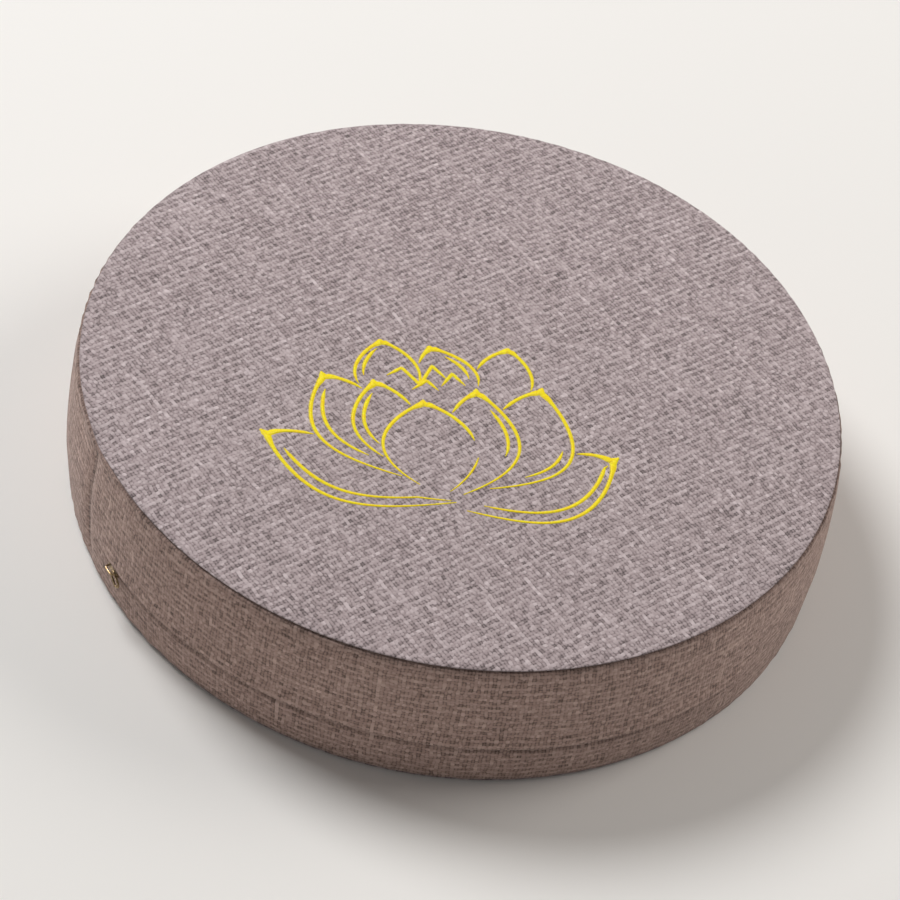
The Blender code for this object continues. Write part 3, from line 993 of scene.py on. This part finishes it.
# ---------------------------------------------------------------- the zip's slider and pull
BRASS_TARNISHED = (0.20, 0.125, 0.060, 1.0)
BRASS_RUBBED = (0.52, 0.40, 0.245, 1.0)
WEAR_SCALE = 700.0
WEAR_DETAIL = 3.0
WEAR_NOISE = (0.35, 0.65)
SCRATCH_WINDING = 9.0
SCRATCH_PATCHES = 150.0
SCRATCH_SCALE = 6.0
SCRATCH_NOISE = (0.2, 0.8)
BRASS_ROUGH = (0.46, 0.26)
SCRATCH_RELIEF = 0.00004
SCRATCH_STRENGTH = 0.4


def brass_material():
    """Plain zip brass, slightly dulled, with brighter rubbed places and fine scratches."""
    net = Net("zip_brass_metal")
    where = net.node("ShaderNodeTexCoord").outputs["Object"]
    wear = net.noise(where, WEAR_SCALE, WEAR_DETAIL)
    winding = net.times(net.noise(where, SCRATCH_PATCHES), SCRATCH_WINDING)
    scratch = net.noise(net.at(winding, wear, 0.0), SCRATCH_SCALE, WEAR_DETAIL)
    rubbed = net.spread(wear, *WEAR_NOISE, 0.0, 1.0)
    net.shade(Base_Color=net.blend(rubbed, BRASS_TARNISHED, BRASS_RUBBED), Metallic=1.0)
    net.shade(Roughness=net.spread(scratch, *SCRATCH_NOISE, *BRASS_ROUGH))
    net.bump(scratch, SCRATCH_RELIEF, SCRATCH_STRENGTH)
    return net.material


brass = brass_material()
for node in ("zip_slider", "zip_pull"):
    for slot in bpy.data.objects[node].material_slots:
        slot.material = brass

# ---------------------------------------------------------------- the room
FLOOR_REACH = 6.0
FLOOR_CORNERS = [
    (-FLOOR_REACH, -FLOOR_REACH, 0.0),
    (FLOOR_REACH, -FLOOR_REACH, 0.0),
    (FLOOR_REACH, FLOOR_REACH, 0.0),
    (-FLOOR_REACH, FLOOR_REACH, 0.0),
]
FLOOR_COLOUR = (0.90, 0.885, 0.86, 1.0)
FLOOR_ROUGH = 0.9
WORLD_COLOUR = (1.0, 0.985, 0.97, 1.0)
WORLD_STRENGTH = 0.17
LIT_PLACE = Vector((0.0, 0.0, 0.04))
NEUTRAL = (1.0, 1.0, 1.0)
LAMPS = (  # (name, place, size, power, colour)
    ("key", (-1.90, 1.24, 2.8), 1.6, 93.0, NEUTRAL),
    ("fill", (2.1, 1.0, 1.9), 1.8, 32.0, (1.0, 0.95, 0.9)),
    ("front", (-2.0, -2.1, 0.8), 1.8, 3.0, (1.0, 0.96, 0.9)),
)

floor_mesh = bpy.data.meshes.new("floor")
floor_mesh.from_pydata(FLOOR_CORNERS, [], [(0, 1, 2, 3)])
floor = linked("floor", floor_mesh)
floor_net = Net("pale_floor")
floor_net.shade(Base_Color=FLOOR_COLOUR, Roughness=FLOOR_ROUGH)
floor_mesh.materials.append(floor_net.material)

world = bpy.data.worlds.new("studio")
bpy.context.scene.world = world
world.use_nodes = True
world.node_tree.nodes["Background"].inputs["Color"].default_value = WORLD_COLOUR
world.node_tree.nodes["Background"].inputs["Strength"].default_value = WORLD_STRENGTH

for name, spot, size, power, colour in LAMPS:
    lamp = bpy.data.lights.new(name, "AREA")
    lamp.shape = "DISK"
    lamp.size = size
    lamp.energy = power
    lamp.color = colour
    made = linked(name, lamp)
    made.location = spot
    made.rotation_euler = (LIT_PLACE - Vector(spot)).to_track_quat("-Z", "Y").to_euler()

# ---------------------------------------------------------------- the camera, at the photo's viewing angle
CAMERA_FAR = 1.7731
CAMERA_UP = radians(44.304)
CAMERA_ROLL = radians(11.851)
CAMERA_AT = Vector((-0.0017, -0.0544, TOP))
CAMERA_LENS = 135.9
CAMERA_SENSOR = 36.0

place = Vector((0.0, -cos(CAMERA_UP), sin(CAMERA_UP))) * CAMERA_FAR + Vector((0.0, 0.0, TOP))
ahead = (CAMERA_AT - place).normalized()
right = ahead.cross(Vector((0.0, 0.0, 1.0))).normalized()
above = right.cross(ahead)
side = right * cos(CAMERA_ROLL) + above * sin(CAMERA_ROLL)
head = -right * sin(CAMERA_ROLL) + above * cos(CAMERA_ROLL)
lens = bpy.data.cameras.new("camera")
lens.lens = CAMERA_LENS
lens.sensor_width = CAMERA_SENSOR
camera = linked("camera", lens)
camera.matrix_world = Matrix.Translation(place) @ Matrix((side, head, -ahead)).transposed().to_4x4()
bpy.context.scene.camera = camera
bpy.context.scene.view_settings.view_transform = "Standard"
